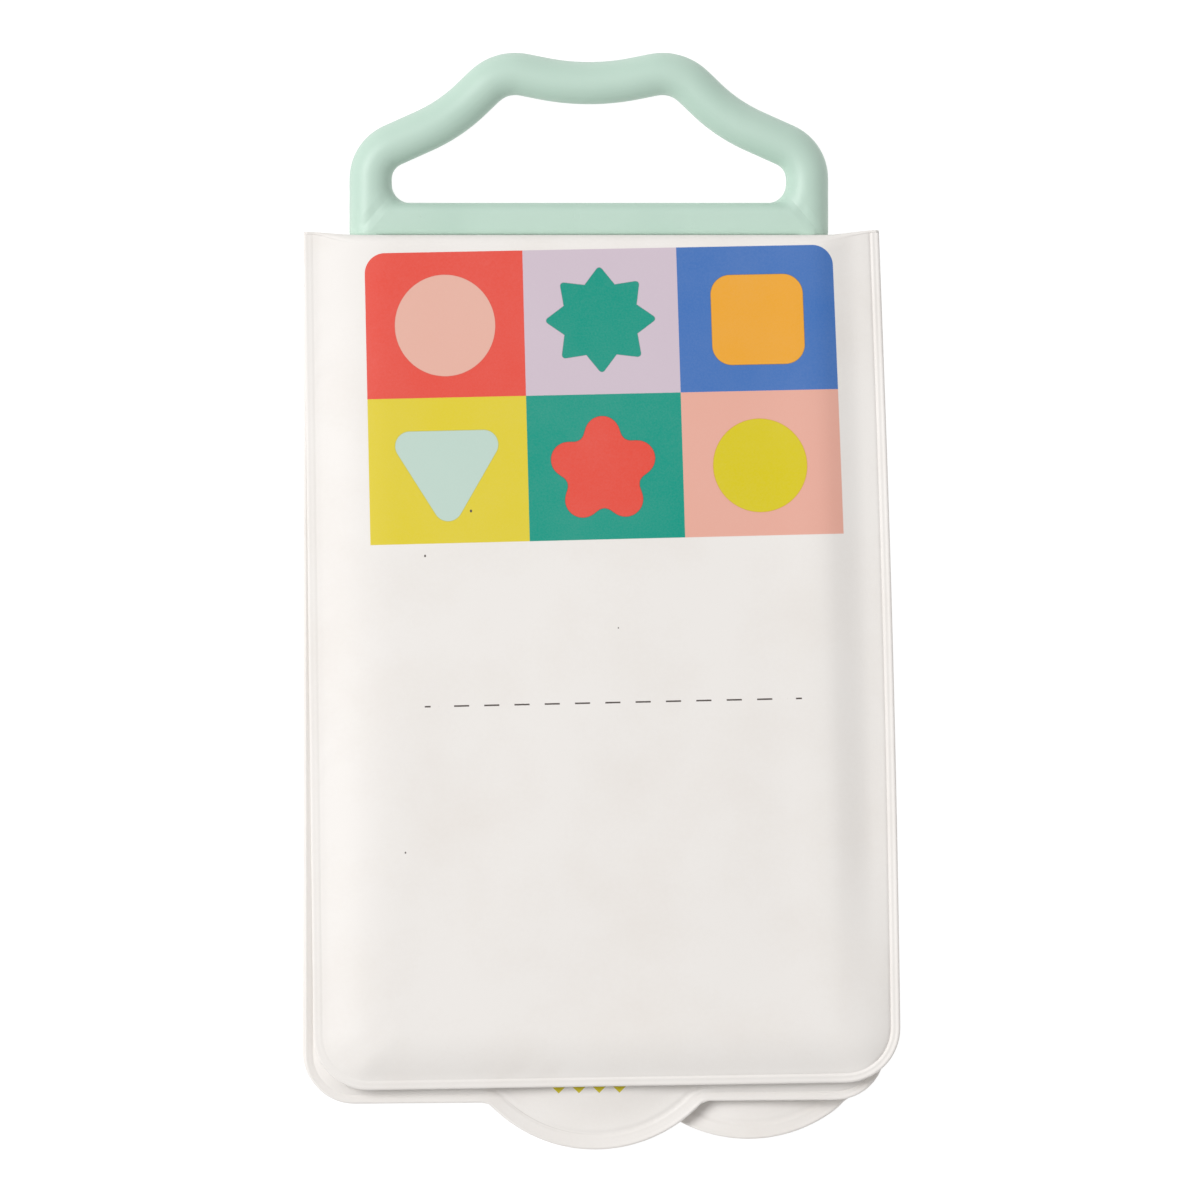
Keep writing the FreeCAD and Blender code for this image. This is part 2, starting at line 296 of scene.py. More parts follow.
def ringSteps(rim, corner):
    # distances of the grid's rings from a welded side: close over the rim, wider over the cushion
    onRim = rim * np.array([0, 0.012, 0.045, 0.1, 0.18, 0.28, 0.38, 0.48, 0.58, 0.68, 0.78, 0.88, 0.95, 1.0])
    beyond = rim * np.array([1.04, 1.1, 1.2, 1.35, 1.55, 1.8, 2.1, 2.5, 3.0, 3.6, 4.3, 5.1])
    steps = np.concatenate([onRim, beyond[beyond < corner - 0.4 * rim]])
    return np.append(steps, corner)


def roundCorners(across, depth, width, radius):
    # In the square at a free corner, the ring at distance d from both sides becomes an arc of
    # radius minus d about the corner's centre: the way along the ring turns into an angle, 45 degrees
    # on the diagonal.
    side = np.minimum(across, width - across)
    ring = np.minimum(side, depth)
    along = np.maximum(side, depth) - ring
    turn = np.pi / 4 * along / np.maximum(radius - ring, 1e-9)
    angle = np.pi / 4 + np.where(depth < side, turn, -turn)
    corner = (side < radius) & (depth < radius)
    newSide = np.where(corner, radius - (radius - ring) * np.cos(angle), side)
    newDepth = np.where(corner, radius - (radius - ring) * np.sin(angle), depth)
    return np.where(across < width / 2, newSide, width - newSide), newDepth, ring


def tabDrop(across, depth, pad):
    # How far the free edge's rings are pulled down into the round tab: the circle of the tab's
    # radius minus the ring's distance, where it lies below the ring's straight line.
    tab = pad["tab"]
    centre = pad["width"] / 2 + tab["shift"]
    ring = np.minimum(depth, tab["fullDepth"])
    radius = tab["radius"] - ring
    half = np.sqrt(np.maximum(radius ** 2 - (across - centre) ** 2, 0))
    drop = half - (tab["radius"] - tab["reach"] - ring)
    fillet = tab["fillet"]
    soft = np.maximum(fillet - np.abs(drop), 0) / fillet
    drop = np.maximum(drop, 0) + soft ** 3 * fillet / 6 * (half > 0)
    return drop * (1 - ease((depth - tab["fullDepth"]) / tab["fadeDepth"]))


def panelPlace(pad, across, depth):
    # the flat panel laid on its four corners: a bilinear patch, askew at its free edge
    right, back = across / pad["width"], 1 - depth / pad["length"]
    spineX = book["spineOffset"] + (right - 0.5) * book["spineWidth"]
    freeX = book["spineOffset"] + pad["lean"] + (right - 0.5) * pad["freeWidth"]
    freeY = -pad["length"] + (2 * right - 1) * pad["askew"]
    bow = pad["bow"] * np.sin(np.pi * np.clip(back, 0, 1)) * right ** 3
    return spineX + back * (freeX - spineX) + bow, spineFace - pad["setBack"] + back * freeY


def halfThickness(pad, across, depth, ring):
    # The rim keeps one thickness, with a rounded cut edge and two beads. Past the weld's groove the
    # cushion rolls up. Where a side is slack, part of the rise waits for the foam further in.
    side = across, pad["width"] - across
    rim = pad["rim"] + np.zeros_like(ring)
    slack = np.ones_like(ring)
    if pad["tab"]:
        tab = pad["tab"]
        chord = math.sqrt(tab["reach"] * (2 * tab["radius"] - tab["reach"]))
        fromMiddle = np.abs(across - pad["width"] / 2 - tab["shift"])
        onTab = ease((chord + tab["fillet"] - fromMiddle) / tab["rimFade"])
        rim += onTab * (tab["rim"] - pad["rim"]) * (depth < tab["fullDepth"] * 3)
        low = tab["share"] + (1 - tab["share"]) * ease((depth - tab["foamFrom"]) / tab["foamRise"])
        slack *= 1 - onTab * (1 - low)
    if pad["slackRight"]:
        right = pad["slackRight"]
        fade = 1 - right["fade"] * ease((right["fadeDepth"] - depth) / right["fadeDepth"])
        held = ease((side[1] - pad["rim"] - right["from"]) / right["rise"])
        slack *= 1 - fade * (1 - right["share"]) * (1 - held)
    cut = np.sqrt(1 - (1 - np.clip(ring / book["cutRound"], 0, 1)) ** 2)
    beads = sum(np.exp(-((ring - place) / book["beadWidth"]) ** 2)
                for place in (book["beadInset"] + 0 * rim, rim - book["beadInset"]))
    groove = np.exp(-((ring - rim) / book["weldWidth"]) ** 2)
    pressed = book["leftWeld"] + (1 - book["leftWeld"]) * across / pad["width"]
    beadHeight = book["beadHeight"] * pressed
    dip = pad["weldDip"] * pressed ** 1.5
    if pad["tab"]:
        beadHeight, dip = beadHeight * (1 + 0.3 * onTab), dip * (1 + tab["press"] * onTab)
    rimHalf = book["rimHalf"] * cut + beadHeight * beads * cut - dip * groove
    atLeft = ease(0.5 + (side[1] - side[0]) / (0.4 * pad["width"]))
    atFree = ease((np.minimum(*side) - depth) / book["freeBand"])
    rollWidth = pad["roll"] + (pad["rollLeft"] - pad["roll"]) * atLeft
    rollWidth = rollWidth + (pad["rollFree"] - rollWidth) * atFree
    gentle = pad["gentleLeft"] * atLeft * (1 - atFree) + pad["gentleFree"] * atFree + 1e-6
    inward = np.sqrt(np.clip(ring - rim, 0, None) ** 2 + gentle ** 2) - gentle
    rise = cushionRoll(inward / rollWidth, pad["rollPower"]) * slack
    return rimHalf + (pad["half"] - book["rimHalf"]) * rise, rise


def seamPucker(pad, across, depth, ring):
    # short folds that the weld leaves in the skin: waves along the edge that die out inwards
    pucker = pad["pucker"]
    random = np.random.default_rng(pucker["seed"])
    way = across - depth + (across > pad["width"] / 2) * 2 * depth
    inward = np.clip((ring - pad["rim"]) / pucker["length"], 0, None)
    envelope = inward * np.exp(1 - inward * 2.2)
    waves = sum(
        random.uniform(0.5, 1) * np.sin(2 * np.pi * way / (pucker["pitch"] * random.uniform(0.7, 1.8))
                                        + random.uniform(0, 6.28))
        for _ in range(5))
    patches = 0.55 + 0.45 * np.sin(way * 2 * np.pi / pucker["patch"] + random.uniform(0, 6.28))
    return pucker["height"] * envelope * waves * patches


def slackSkin(pad, across, depth, rise):
    # the broad unevenness of a skin on foam: a few long waves in both directions
    skin = pad["skin"]
    random = np.random.default_rng(skin["seed"])
    total = np.zeros_like(rise)
    for _ in range(9):
        length = skin["pitch"] * random.uniform(0.6, 2.0)
        heading = random.uniform(0, np.pi)
        way = across * np.cos(heading) + depth * np.sin(heading)
        total += random.uniform(0.4, 1) * np.sin(2 * np.pi * way / length + random.uniform(0, 6.28))
    return skin["height"] * total / 3 * rise


def edgeLevel(pad, across, depth, ring):
    # how the panel's edges leave its middle level: slow waves along them, and a curl with a height
    # and a width, which are the right side's own there
    side = np.minimum(across, pad["width"] - across)
    alongFree = np.sin(9 * across / pad["width"] + 1.3) * ease(1 - depth / book["swayFree"])
    alongSides = np.sin(11 * depth / pad["length"]) * ease(1 - side / book["swaySide"])
    atRight = ease((across - pad["width"] + book["rightBand"]) / book["rightBand"])
    curl, curlWidth = (left + (right - left) * atRight for left, right in zip(pad["curl"], pad["curlRight"]))
    nearEdge = np.clip(1 - ring / curlWidth, 0, 1) ** 1.5
    nearEdge = nearEdge * ease((pad["length"] - depth) / book["curlFade"])
    return pad["sway"] * (alongFree + alongSides) + curl * nearEdge


def foldHalf(pad, across):
    # half the pad's thickness where it meets the spine, and how far its sealed ends stand out there
    depth = np.full_like(across, pad["length"])
    side = np.minimum(across, pad["width"] - across)
    half, _ = halfThickness(pad, across, depth, side)
    ear = pad["ears"][0] + (pad["ears"][1] - pad["ears"][0]) * (across / pad["width"])
    return half, ear * ease(1 - side / pad["earWidth"])


def makePad(name, pad, material):
    # Rows run over the upper skin from the free edge to the spine, round the fold, and back under
    # the lower skin. Columns run from the left side to the right.
    pad["width"] = (book["spineWidth"] + pad["freeWidth"]) / 2
    near = ringSteps(pad["rim"], pad["corner"])
    columns = round((pad["width"] - 2 * pad["corner"]) / book["columnStep"])
    rows = round((pad["length"] - pad["corner"]) / book["rowStep"])
    acrossSteps = np.concatenate([
        near, np.linspace(pad["corner"], pad["width"] - pad["corner"], columns)[1:-1],
        pad["width"] - near[::-1]])
    depthSteps = np.concatenate([near, np.linspace(pad["corner"], pad["length"], rows)[1:]])
    foldAt, earAt = foldHalf(pad, acrossSteps)

    across, depth = np.meshgrid(acrossSteps, depthSteps)
    across, depth, ring = roundCorners(across, depth, pad["width"], pad["corner"])
    fold, ear = foldAt[None, :], earAt[None, :]
    stretch = (pad["length"] + ear - fold - pad["corner"]) / (pad["length"] - pad["corner"])
    depth = np.where(depth > pad["corner"], pad["corner"] + (depth - pad["corner"]) * stretch, depth)
    half, rise = halfThickness(pad, across, depth, ring)
    uneven = (seamPucker(pad, across, depth, ring) * (ring > pad["rim"])
              + slackSkin(pad, across, depth, rise)) * ease((pad["length"] - depth) / pad["calm"])
    crown = rise * (1 - (2 * across / pad["width"] - 1) ** 2) * np.sin(
        np.pi * np.clip(1 - depth / pad["length"], 0, 1) ** pad["crownBias"]) ** 1.2
    if pad["slackRight"]:
        right = pad["slackRight"]
        fromRidge = (pad["width"] - across - right["ridgeFrom"]) / right["ridgeWidth"]
        uneven = uneven + right["ridge"] * np.exp(-fromRidge ** 2) * rise * ease(depth / right["fadeDepth"])
    level = pad["middle"]
    if pad["tab"]:
        drop = tabDrop(across, depth, pad)
        level = level + pad["tab"]["lift"] * drop / pad["tab"]["reach"]
        depth = depth - drop
    level = level + edgeLevel(pad, across, depth, ring)
    x, y = panelPlace(pad, across, depth)
    skins = []
    for sign, swell in ((1, pad["crown"][0]), (-1, pad["crown"][1])):
        z = level + sign * (half + swell * crown + uneven * pad["unevenSides"][sign < 0])
        z = np.where(ring <= 0, level, z)
        skins.append(np.stack([x, y, z], -1))

    turns = np.linspace(np.pi / 2, -np.pi / 2, book["foldRows"] + 2)[1:-1, None]
    foldDepth = pad["length"] + ear - fold + fold * np.cos(turns)
    foldX, foldY = panelPlace(pad, np.broadcast_to(acrossSteps, foldDepth.shape), foldDepth)
    foldZ = level[-1:] + fold * np.sin(turns)
    points = np.concatenate([skins[0], np.stack([foldX, foldY, foldZ], -1), skins[1][::-1]])

    flat = np.stack([across - pad["width"] / 2, pad["length"] - depth], -1)
    foldFlat = np.stack([np.broadcast_to(acrossSteps, foldDepth.shape) - pad["width"] / 2,
                         pad["length"] - foldDepth], -1)
    inner = np.array([1.0, 0.0])          # the inner skin's map lies a metre to the right of the outer one's
    upper, lower = (0, 1) if pad["outside"] > 0 else (1, 0)
    uv = np.concatenate([flat + upper * inner, foldFlat + upper * inner, flat[::-1] + lower * inner])
    mesh = gridMesh(name, points, uv)
    closeSeams(mesh)
    piece = addPiece(name, mesh, material)
    print(name, "made with", len(mesh.polygons), "faces")
    return piece


# Finishes

vinyl = {
    "color": (236, 232, 228),
    "shade": (229, 223, 217),
    "roughness": 0.46,
    "sheen": 0.42,
    "grain": 5200.0 / 3,          # fine leather-like grain, cells a metre
    "grainStrength": 0.05,
    "cloud": 38.0,
}


def vinylGrain(paint, place):
    # pebbled grain with a faint longer ripple, as a bump
    pebble = paint.node("TexVoronoi", {"feature": "SMOOTH_F1"},
                        {"Vector": place, "Scale": vinyl["grain"], "Smoothness": 0.6})
    ripple = paint.noise(place, 420.0, 3.0)
    return paint.node("Bump", {}, {"Strength": vinyl["grainStrength"], "Distance": 0.25 * mm,
                                   "Height": pebble * 0.5 + ripple * 0.7})


def vinylRoughness(paint, place):
    return vinyl["roughness"] + (paint.noise(place, 160.0, 3.0) - 0.5) * 0.14


def vinylColor(paint, place):
    cloud = paint.noise(place, vinyl["cloud"], 4.0)
    fine = paint.noise(place, 900.0, 2.0)
    share = paint.clampedShare((cloud - 0.42) * 1.6 + (fine - 0.5) * 0.35)
    return paint.mix(share, linear(vinyl["color"]), linear(vinyl["shade"]))


def plainVinyl():
    paint = Paint("coated_vinyl")
    place = paint.node("TexCoord", {}, {}, "Object")
    return paint.finish(vinylColor(paint, place), vinylRoughness(paint, place), vinylGrain(paint, place),
                        Specular_IOR_Level=vinyl["sheen"])


prints = {
    "middle": (2.1 * mm, 43.3 * mm),      # from the panel's middle line and from the spine
    "turn": math.radians(0.45),           # the columns' and the rows' own
    "rowTurn": math.radians(1.08),
    "columns": (-20.85 * mm, 21.4 * mm),  # where the colour changes across a row
    "cell": (42.85 * mm, 39.5 * mm),
    "corner": 5.6 * mm,                   # rounding of the block's two upper corners
    "blur": 0.10 * mm,
    "fields": ((228, 80, 66), (206, 190, 202), (66, 114, 184),
               (222, 203, 52), (0, 150, 130), (230, 171, 154)),
    "figures": ((228, 177, 161), (0, 149, 129), (235, 165, 46),
                (190, 212, 201), (227, 76, 60), (215, 198, 16)),
    "trap": 0.22 * mm,            # the darker line where a figure's ink overlaps its field's
    "ink": (88, 80, 76),
    "line": {"middle": (3.3 * mm, 127.2 * mm), "turn": math.radians(0.78), "half": 51.0 * mm,
             "pitch": 8.2 * mm, "dash": 4.1 * mm, "dashes": 12, "thick": 0.44 * mm, "end": 1.6 * mm},
    # stray specks of ink: place from the panel's middle line and the spine, and radius
    "specks": ((-47.0 * mm, 87.0 * mm, 0.34 * mm), (5.2 * mm, 106.9 * mm, 0.22 * mm),
               (-53.5 * mm, 167.4 * mm, 0.28 * mm), (-34.3 * mm, 74.9 * mm, 0.40 * mm)),
    "sheen": 0.25,
}


figures = {
    # how far each one's middle lies off its cell's, in mm: to the right and down
    "offsets": ((0.3, 0.2), (0.1, -0.5), (0.2, 0.3), (0.0, -6.8), (-0.3, 0.9), (-0.5, 0.6)),
    "circle": 13.8 * mm,
    "star": {"tip": 15.5 * mm, "cap": 14.9 * mm, "notch": 10.8 * mm, "count": 8, "tipRound": 0.7 * mm},
    "starSquash": 1.05,
    "box": {"halfX": 12.65 * mm, "halfY": 12.3 * mm, "corner": 5.4 * mm},
    "triangle": {"half": 10.1 * mm, "height": 16.6 * mm, "corner": 4.0 * mm},
    "flower": {"lobeAt": 9.9 * mm, "lobe": 4.8 * mm, "middle": 10.3 * mm, "count": 5,
               "notchRound": 3.0 * mm},
    "disc": 12.75 * mm,
}


def spot(x, y, middle, turn=0.0, rowTurn=None):
    # coordinates about a point, turned with the print
    dx, dy = x - middle[0], y - middle[1]
    rowTurn = turn if rowTurn is None else rowTurn
    return dx * math.cos(turn) + dy * -math.sin(turn), dx * math.sin(rowTurn) + dy * math.cos(rowTurn)


def reach(x, y):
    return (x * x + y * y) ** 0.5


def roundedBox(paint, x, y, halfX, halfY, corner):
    # distance to a rectangle with rounded corners
    outX, outY = abs(x) - (halfX - corner), abs(y) - (halfY - corner)
    within = paint.smaller(paint.larger(outX, outY), 0.0)
    return reach(paint.larger(outX, 0.0), paint.larger(outY, 0.0)) + within - corner


def petalFold(paint, x, y, count):
    # folds the plane so that every point of a star lies on the first one: the radius, and the
    # coordinates along that point's axis and off it
    angle = paint.node("Math", {"operation": "ARCTAN2"}, {0: x, 1: -1.0 * y})
    step = 2 * math.pi / count
    radius, angle = reach(x, y), abs((angle + step / 2) % step - step / 2)
    along = radius * paint.node("Math", {"operation": "COSINE"}, {0: angle})
    off = radius * paint.node("Math", {"operation": "SINE"}, {0: angle})
    return radius, along, off


def pointedStar(paint, x, y, tip, cap, notch, count, tipRound):
    # distance to the straight flank between a tip and the notch beside it; the tip ends softly at cap
    radius, along, off = petalFold(paint, x, y, count)
    half = math.pi / count
    dx, dy = notch * math.cos(half) - tip, notch * math.sin(half)
    size = math.hypot(dx, dy)
    flank = (along - tip) * (dy / size) - off * (dx / size)
    return paint.softMax(flank, radius - cap, tipRound)


def lobedStar(paint, x, y, lobeAt, lobe, middle, count, notchRound):
    # a disc and a ring of smaller discs about it, grown together with round notches
    radius, along, off = petalFold(paint, x, y, count)
    lobes = reach(along - lobeAt, off) - lobe
    return -paint.softMax(-lobes, -(radius - middle), notchRound)


def roundedTriangle(paint, x, y, half, height, corner):
    # a triangle that points down, between the centres of its round corners, and a border of their
    # radius about it; the left side mirrors the right one
    x = abs(x)
    size = math.hypot(half, height)
    flank = (x - half) * (height / size) + y * (half / size)
    along = paint.clampedShare((y * height - (x - half) * half) / size ** 2)
    nearSide = reach(x - half + along * half, y - along * height)
    overTop = reach(paint.larger(x - half, 0.0), y)
    border = paint.smaller(nearSide, overTop) - corner
    return paint.smaller(paint.larger(flank, -1.0 * y), border)


def figureMasks(paint, x, y):
    # the six figures, row by row, each about a point near the middle of its own cell
    cellX, cellY = prints["cell"]
    circle, star, box, triangle, flower, disc = (
        (x - (i % 3 - 1) * cellX - aside * mm, y - (i // 3 - 0.5) * cellY - down * mm)
        for i, (aside, down) in enumerate(figures["offsets"]))
    return (
        reach(*circle) - figures["circle"],
        pointedStar(paint, star[0], star[1] * figures["starSquash"], **figures["star"]),
        roundedBox(paint, *box, **figures["box"]),
        roundedTriangle(paint, *triangle, **figures["triangle"]),
        lobedStar(paint, *flower, **figures["flower"]),
        reach(*disc) - figures["disc"],
    )


def dashedLine(paint, x, y):
    # a line to write on: even dashes with a short one at each end
    line = prints["line"]
    lx, ly = spot(x, y, line["middle"], line["turn"])
    phase = abs((lx + line["pitch"] / 2) % line["pitch"] - line["pitch"] / 2) - line["dash"] / 2
    within = abs(lx) - (line["dashes"] / 2 * line["pitch"] - line["dash"] / 2)
    ends = abs(abs(lx) - (line["half"] - line["end"] / 2)) - line["end"] / 2
    either = paint.smaller(paint.larger(phase, within), ends)
    return paint.larger(either, abs(ly) - line["thick"] / 2)


def printedVinyl():
    # the back cover: six colour fields with a plain figure in each, a writing line and stray specks
    paint = Paint("printed_vinyl")
    place = paint.node("TexCoord", {}, {}, "Object")
    flat = paint.node("UVMap", {"uv_map": "Panel"})
    x, y = paint.axis(flat, "X"), paint.axis(flat, "Y")
    blur = prints["blur"]
    px, py = spot(x, y, prints["middle"], prints["turn"], prints["rowTurn"])
    cellX, cellY = prints["cell"]

    columns = [paint.inside(px - line, blur) for line in prints["columns"]]
    lower = paint.inside(-1.0 * py, blur)
    rowsColor = []
    for row in (0, 1):
        fields = [linear(c) for c in prints["fields"][3 * row:3 * row + 3]]
        middleAndLeft = paint.mix(columns[0], fields[1], fields[0])
        rowsColor.append(paint.mix(columns[1], fields[2], middleAndLeft))
    field = paint.mix(lower, rowsColor[0], rowsColor[1])
    for distance, color, under in zip(figureMasks(paint, px, py), prints["figures"], prints["fields"]):
        both = tuple(np.array(linear(color)) * np.array(linear(under)))
        field = paint.mix(paint.inside(distance, blur), field, linear(color))
        field = paint.mix(paint.inside(abs(distance) - prints["trap"] / 2, blur) * 0.4, field, both)

    # the block reaches far below its rounded upper corners, and a straight cut ends it
    deep = 3 * cellY
    rounded = roundedBox(paint, px, py - (deep - cellY), 1.5 * cellX, deep, prints["corner"])
    block = paint.larger(rounded, py - cellY)
    ground = vinylColor(paint, place)
    mottle = paint.noise(place, 1900.0, 4.0, 0.65)
    cloud = paint.noise(place, 55.0, 3.0)
    worn = paint.clampedShare((mottle - 0.5) * 0.08 + (cloud - 0.5) * 0.06 + 0.02)
    inked = paint.mix(worn, field, ground)
    onBlock = paint.inside(block, blur)
    color = paint.mix(onBlock, ground, inked)

    ink = linear(prints["ink"])
    color = paint.mix(paint.inside(dashedLine(paint, x, y), 0.06 * mm), color, ink)
    for speckX, speckY, radius in prints["specks"]:
        dx, dy = spot(x, y, (speckX, speckY))
        color = paint.mix(paint.inside(reach(dx * 1.3, dy) - radius, 0.12 * mm), color, ink)
    roughness = vinylRoughness(paint, place) - onBlock * 0.06
    return paint.finish(color, roughness, vinylGrain(paint, place), Specular_IOR_Level=prints["sheen"])


leafPrint = {
    "middle": (-1.6 * mm, 232.3 * mm), "pitch": 5.49 * mm, "height": 2.5 * mm, "turn": math.radians(0.3),
    "color": (206, 190, 30),
    # painted shade at the tab's weld: a thin darker arc along the weld's sharp inner line, shown on the left
    # part, past a row, where the groove's wall faces away from the light
    "tabMiddle": (0.2 * mm, 208.3 * mm), "lineRadius": 35.3 * mm, "lineFade": 22 * mm,
    "lineRow": 233.5 * mm, "grooveShadeColor": (150, 140, 134), "grooveShadeShare": 0.42,
}


def leafVinyl():
    # the leaf whose print just shows: a row of small triangles, points down, by the tab, with painted shade
    # along the tab's weld groove on its left part
    paint = Paint("leaf_vinyl")
    place = paint.node("TexCoord", {}, {}, "Object")
    flat = paint.node("UVMap", {"uv_map": "Panel"})
    x, y = paint.axis(flat, "X"), paint.axis(flat, "Y")
    pitch = leafPrint["pitch"]
    tx, ty = spot(x, y, leafPrint["middle"], leafPrint["turn"])
    cell = abs(tx % pitch - pitch / 2)
    flank = (cell + ty) * math.sqrt(0.5)
    triangle = paint.larger(paint.larger(flank, -1.0 * ty - leafPrint["height"]), abs(tx) - 2 * pitch)
    color = paint.mix(paint.inside(triangle, 0.1 * mm), vinylColor(paint, place), linear(leafPrint["color"]))
    # painted shade: darkens a thin arc along the tab's weld groove on the left part, where the groove turns
    # away from the light
    dx, dy = spot(x, y, leafPrint["tabMiddle"])
    fromGrooveShade = abs(reach(dx, dy) - leafPrint["lineRadius"]) - 0.06 * mm
    shadeOnLeft = paint.clampedShare(-1.0 * x / leafPrint["lineFade"] + 0.15)
    shadeOnLeft = shadeOnLeft * paint.clampedShare((y - leafPrint["lineRow"]) / (3 * mm))
    share = paint.inside(fromGrooveShade, 0.16 * mm) * shadeOnLeft * leafPrint["grooveShadeShare"]
    color = paint.mix(share, color, linear(leafPrint["grooveShadeColor"]))
    return paint.finish(color, vinylRoughness(paint, place), vinylGrain(paint, place),
                        Specular_IOR_Level=vinyl["sheen"])


rubber = {
    "color": (188, 213, 199), "shade": (176, 204, 189), "roughness": 0.44, "sheen": 0.5,
    "seam": 0.16 * mm,            # half the width of the parting line
    "bump": 0.10,
    # soft creases where the bar's face meets the legs: two points on the right one
    "crease": ((55.2 * mm, 9.8 * mm), (61.8 * mm, 2.0 * mm)),
    "creaseHalf": 2.2 * mm, "creaseDepth": 26.0, "markDepth": 5.0,      # depths as shares of the bump's
    # faint round marks that the mould leaves on the bar: place and radius
    "marks": ((-3.2 * mm, 5.2 * mm, 0.9 * mm), (-0.8 * mm, 8.0 * mm, 0.5 * mm),
              (-45.9 * mm, 5.2 * mm, 0.5 * mm), (28.0 * mm, 3.0 * mm, 0.6 * mm)),
}


def handleRubber():
    # matt moulded silicone: fine blasted grain, faint flow clouds and the parting line round its middle
    paint = Paint("moulded_silicone")
    place = paint.node("TexCoord", {}, {}, "Object")
    x, y, height = (paint.axis(place, letter) for letter in "XYZ")
    fromSeam = (height - middleOf("handle")) / rubber["seam"]
    relief = paint.inside(abs(fromSeam) - 1.0, 1.2)
    (fromX, fromY), (toX, toY) = rubber["crease"]
    size = math.hypot(toX - fromX, toY - fromY)
    ax, ay = abs(x) - fromX, y - (spineFace + fromY)
    along = (ax * (toX - fromX) + ay * (toY - fromY)) / size ** 2
    beside = (ax * (toY - fromY) - ay * (toX - fromX)) / size
    fade = paint.clampedShare(along * 5.0 + 0.6) * paint.clampedShare(5.6 - along * 5.0)
    crease = paint.clampedShare(1.0 - abs(beside) / rubber["creaseHalf"]) * fade
    for markX, markY, radius in rubber["marks"]:
        dx, dy = spot(x, y, (markX, spineFace + markY))
        mark = paint.inside(abs(reach(dx, dy) - radius) - 0.12 * mm, 0.3 * mm)
        relief = relief - mark * rubber["markDepth"]
    grain = paint.noise(place, 2600.0, 3.0, 0.6)
    cloud = paint.noise(place, 46.0, 3.0)
    relief = grain * 0.6 + relief * 0.9 - crease * rubber["creaseDepth"]
    bump = paint.node("Bump", {}, {"Strength": rubber["bump"], "Distance": 0.2 * mm, "Height": relief})
    share = paint.clampedShare((cloud - 0.45) * 1.3 + (grain - 0.5) * 0.2)
    color = paint.mix(share, linear(rubber["color"]), linear(rubber["shade"]))
    roughness = rubber["roughness"] + (grain - 0.5) * 0.12
    return paint.finish(color, roughness, bump, Specular_IOR_Level=rubber["sheen"])


vinylPaint, printPaint, leafPaint, rubberPaint = plainVinyl(), printedVinyl(), leafVinyl(), handleRubber()
print("finishes mixed")


# The four pads

skinUneven = {"pitch": 62 * mm, "height": 0.16 * mm}
backCover = {
    "length": 231.7 * mm, "freeWidth": 159.8 * mm, "corner": 15 * mm, "rim": 2.5 * mm, "setBack": 0.0,
    "lean": 4.4 * mm, "askew": 1.28 * mm, "bow": 0.85 * mm,      # how it lies off square
    "half": 3.0 * mm, "middle": middleOf("back_cover"), "tab": None,
    # how far the foam's rounded edge reaches in, and how softly it starts at the left and the free edge
    "roll": 9.0 * mm, "rollLeft": 20.0 * mm, "rollFree": 12.0 * mm, "rollPower": 2.3,
    "gentleLeft": 2.5 * mm, "gentleFree": 1.5 * mm, "weldDip": 0.22 * mm,
    "slackRight": {"from": 3.8 * mm, "rise": 11.5 * mm, "share": 0.16, "fade": 0.75, "fadeDepth": 75 * mm,
                   "ridge": 0.38 * mm, "ridgeFrom": 20 * mm, "ridgeWidth": 8 * mm},
    "crown": (0.9 * mm, 0.0), "crownBias": 0.9,
    "ears": (0.8 * mm, 1.3 * mm), "earWidth": 15 * mm,
    "pucker": {"seed": 4, "length": 3.6 * mm, "pitch": 7 * mm, "patch": 64 * mm, "height": 0.05 * mm},
    "skin": {"seed": 11, **skinUneven}, "calm": 25 * mm, "unevenSides": (1.0, 0.0),
    "sway": 0.18 * mm, "curl": (-1.0 * mm, 14 * mm), "curlRight": (0.6 * mm, 6 * mm),      # height, width
    "outside": 1, "fill": 0.55,
}
frontCover = {
    **backCover, "length": 231.0 * mm, "freeWidth": 156.8 * mm, "lean": 0.0, "askew": 0.0, "bow": 0.0,
    "middle": middleOf("front_cover"), "slackRight": None, "crown": (0.0, 0.0), "unevenSides": (0.0, 0.0),
    "sway": 0.0, "curl": (0.0, 14 * mm), "curlRight": (0.0, 14 * mm),
    "pucker": {**backCover["pucker"], "seed": 21}, "outside": -1,
}
leafShape = {
    "length": 234.7 * mm, "freeWidth": 158.2 * mm, "corner": 13.5 * mm, "rim": 2.3 * mm, "setBack": 1.3 * mm,
    "half": 3.3 * mm, "bow": 0.0, "slackRight": None,
    "roll": 9.0 * mm, "rollLeft": 11.0 * mm, "rollFree": 12.0 * mm, "rollPower": 2.0,
    "gentleLeft": 0.0, "gentleFree": 0.0, "weldDip": 0.10 * mm,
    "crown": (0.0, 0.0), "crownBias": 1.0, "ears": (0.0, 0.0), "earWidth": 10 * mm,
    "pucker": {"length": 3.2 * mm, "pitch": 7 * mm, "patch": 50 * mm, "height": 0.04 * mm},
    "skin": {"seed": 5, **skinUneven}, "calm": 25 * mm, "unevenSides": (0.0, 0.0),
    "sway": 0.12 * mm, "curl": (1.4 * mm, 14 * mm), "curlRight": (1.4 * mm, 14 * mm),
    "outside": 1, "fill": 0.6,
}
tabShape = {
    "radius": 39.4 * mm, "rim": 4.0 * mm, "fullDepth": 7.5 * mm, "fadeDepth": 36 * mm,
    "fillet": 1.6 * mm, "rimFade": 3.0 * mm, "share": 0.22, "foamFrom": 5.0 * mm, "foamRise": 15 * mm,
}
leafLow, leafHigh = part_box("pages")
leafHalf = (leafHigh.z - leafLow.z) / 4
upperLeaf = {
    **leafShape, "lean": 1.0 * mm, "askew": 0.62 * mm, "middle": leafHigh.z - leafHalf,
    "tab": {**tabShape, "shift": 0.2 * mm, "reach": 13.0 * mm, "press": 6.5, "lift": 0.0},
    "pucker": {**leafShape["pucker"], "seed": 8},
}
